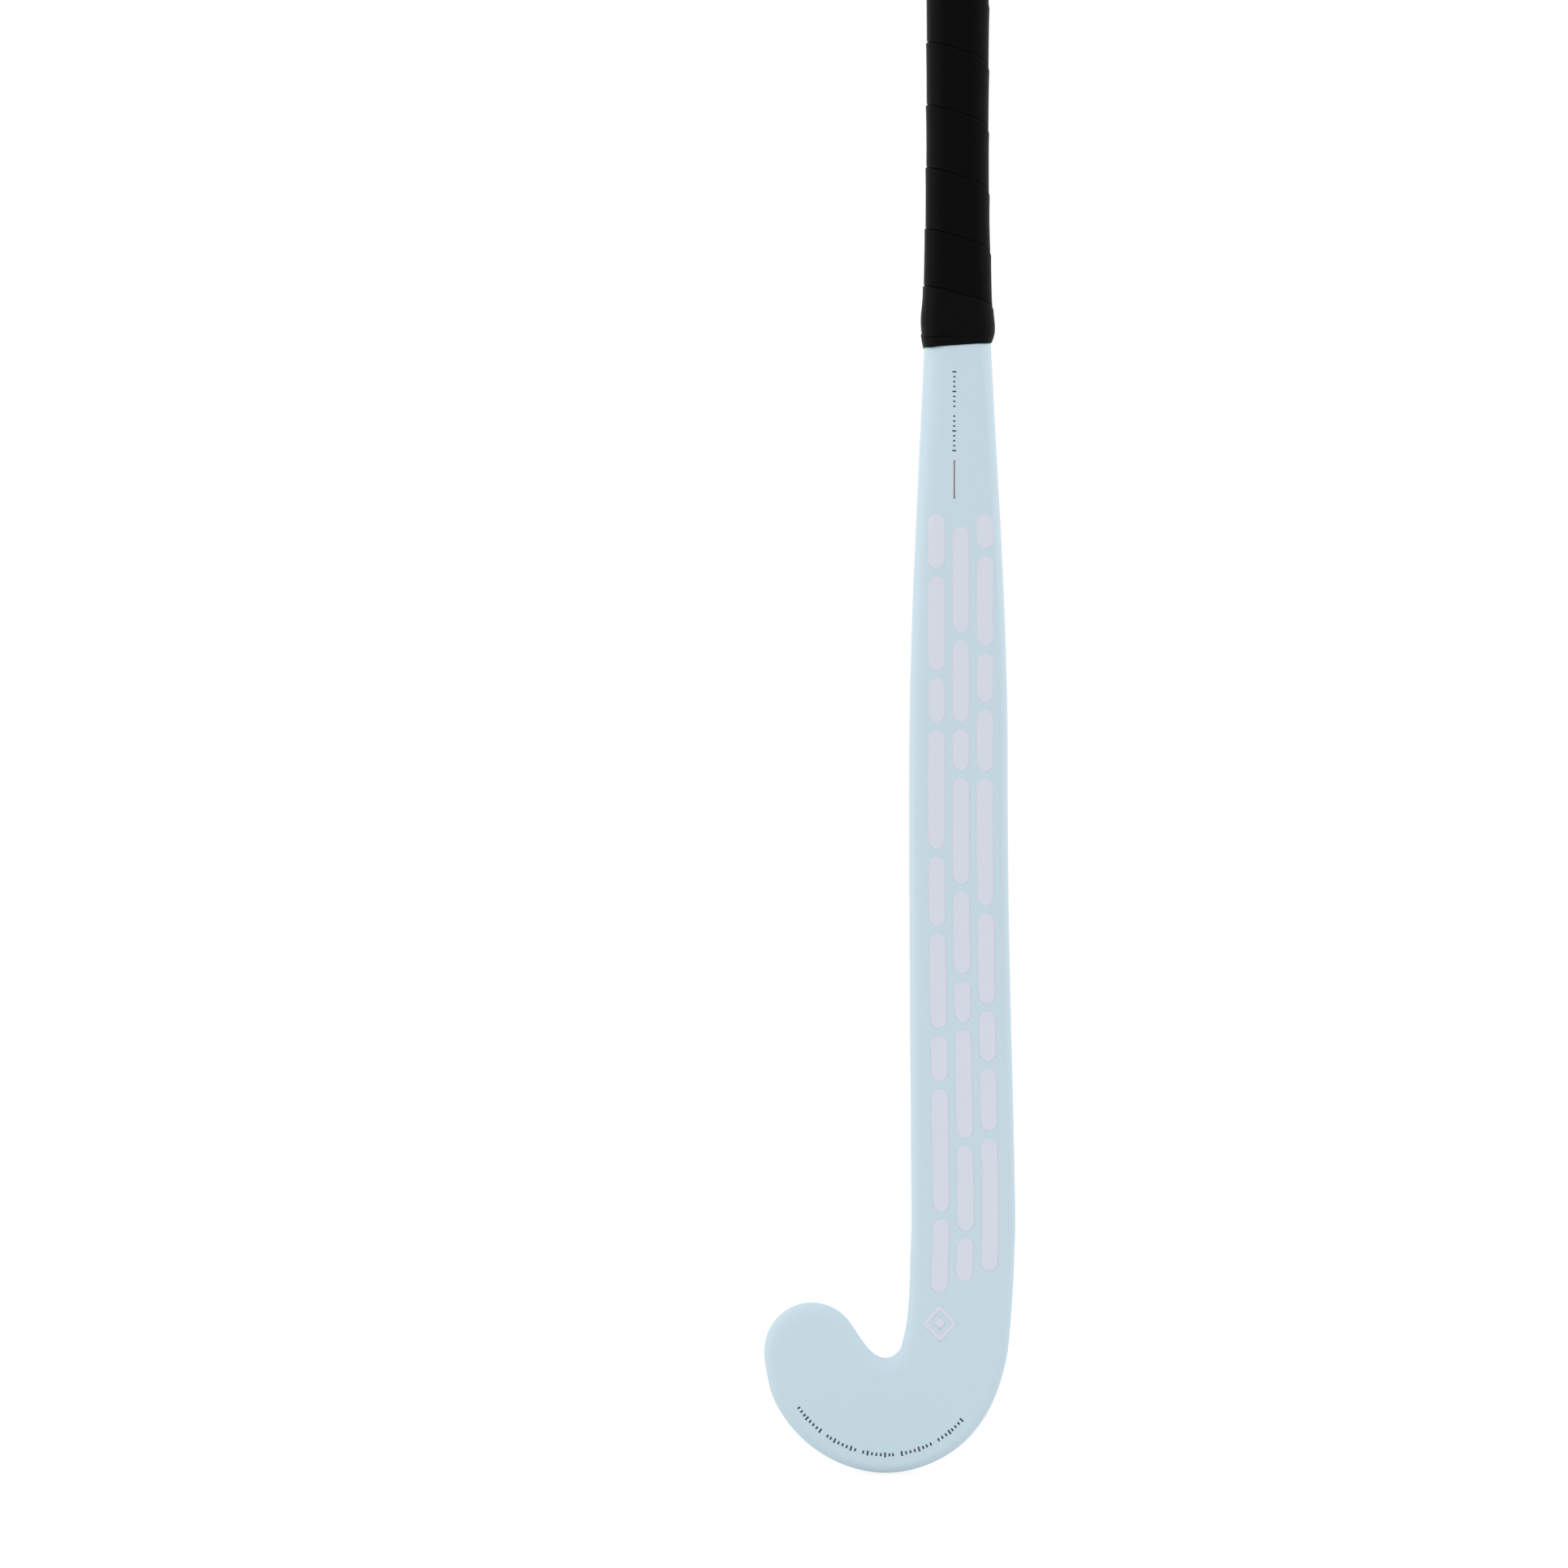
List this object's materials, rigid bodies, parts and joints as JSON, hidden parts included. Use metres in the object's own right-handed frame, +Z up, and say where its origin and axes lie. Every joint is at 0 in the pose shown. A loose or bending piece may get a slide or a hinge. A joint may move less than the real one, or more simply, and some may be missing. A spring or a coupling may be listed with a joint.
{
  "type": "field hockey stick",
  "caption": "Composite field hockey stick: straight wrapped handle, forward-bowed shaft, flat playing face, crowned back, and a head hooked round a narrow notch to a round toe.",
  "frame": {"origin": "on the axis of the straight handle, halfway along the grip", "axes": "+Z up the handle towards the butt, -Y out of the flat playing face and +Y out of the crowned back, -X towards the toe"},
  "size_m": [0.1215, 0.0576, 0.9262],
  "materials": {
    "shell_laminate": "satin clear lacquer over a pale ice blue composite laminate",
    "tube_laminate": "raw black carbon composite",
    "core_foam": "closed-cell foam, cut faces",
    "plug_plastic": "moulded black plastic",
    "felt": "thin felt backing",
    "grip_pu": "smooth near-black polyurethane grip tape",
    "finishing_band": "stretched black vinyl tape, satin"
  },
  "bodies": {
    "root": {"outer_shell": "shell_laminate", "head_core": "core_foam", "heel_side_tube": "tube_laminate", "toe_side_tube": "tube_laminate", "handle_foam": "core_foam", "end_plug": "plug_plastic", "grip_backing": "felt", "grip_tape": "grip_pu", "finishing_tape": "finishing_band"}
  },
  "joints": []
}
